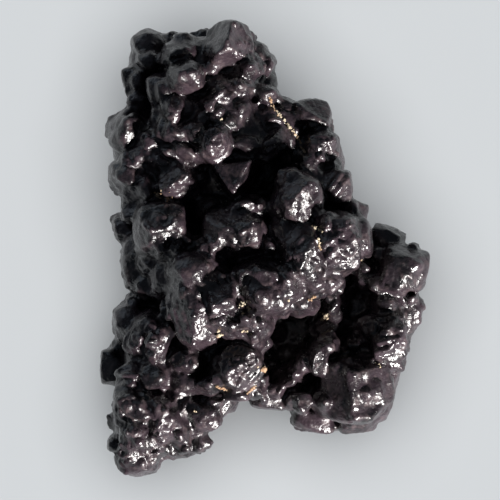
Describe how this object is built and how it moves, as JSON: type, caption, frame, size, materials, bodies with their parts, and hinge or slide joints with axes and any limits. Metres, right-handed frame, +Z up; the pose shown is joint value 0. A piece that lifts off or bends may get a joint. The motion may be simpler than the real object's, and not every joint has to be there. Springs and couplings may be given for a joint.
{
  "type": "carbonado diamond nodule",
  "caption": "Knobbly black mass of carbonado, a crown above two legs with a deep hollow between them, lying on its back as a display stone.",
  "frame": {"origin": "middle of the nodule's outline seen from above, on the floor it lies on", "axes": "+Y from the two legs to the crown, +X to the right of the face that shows, +Z up out of that face"},
  "size_m": [0.0476, 0.0652, 0.0359],
  "materials": {
    "black_glazed_stone": "near-black stone with a brown-purple cast and a natural glaze: glossy, with small sharp highlights"
  },
  "bodies": {
    "root": {"carbonado": "black_glazed_stone"}
  },
  "joints": []
}
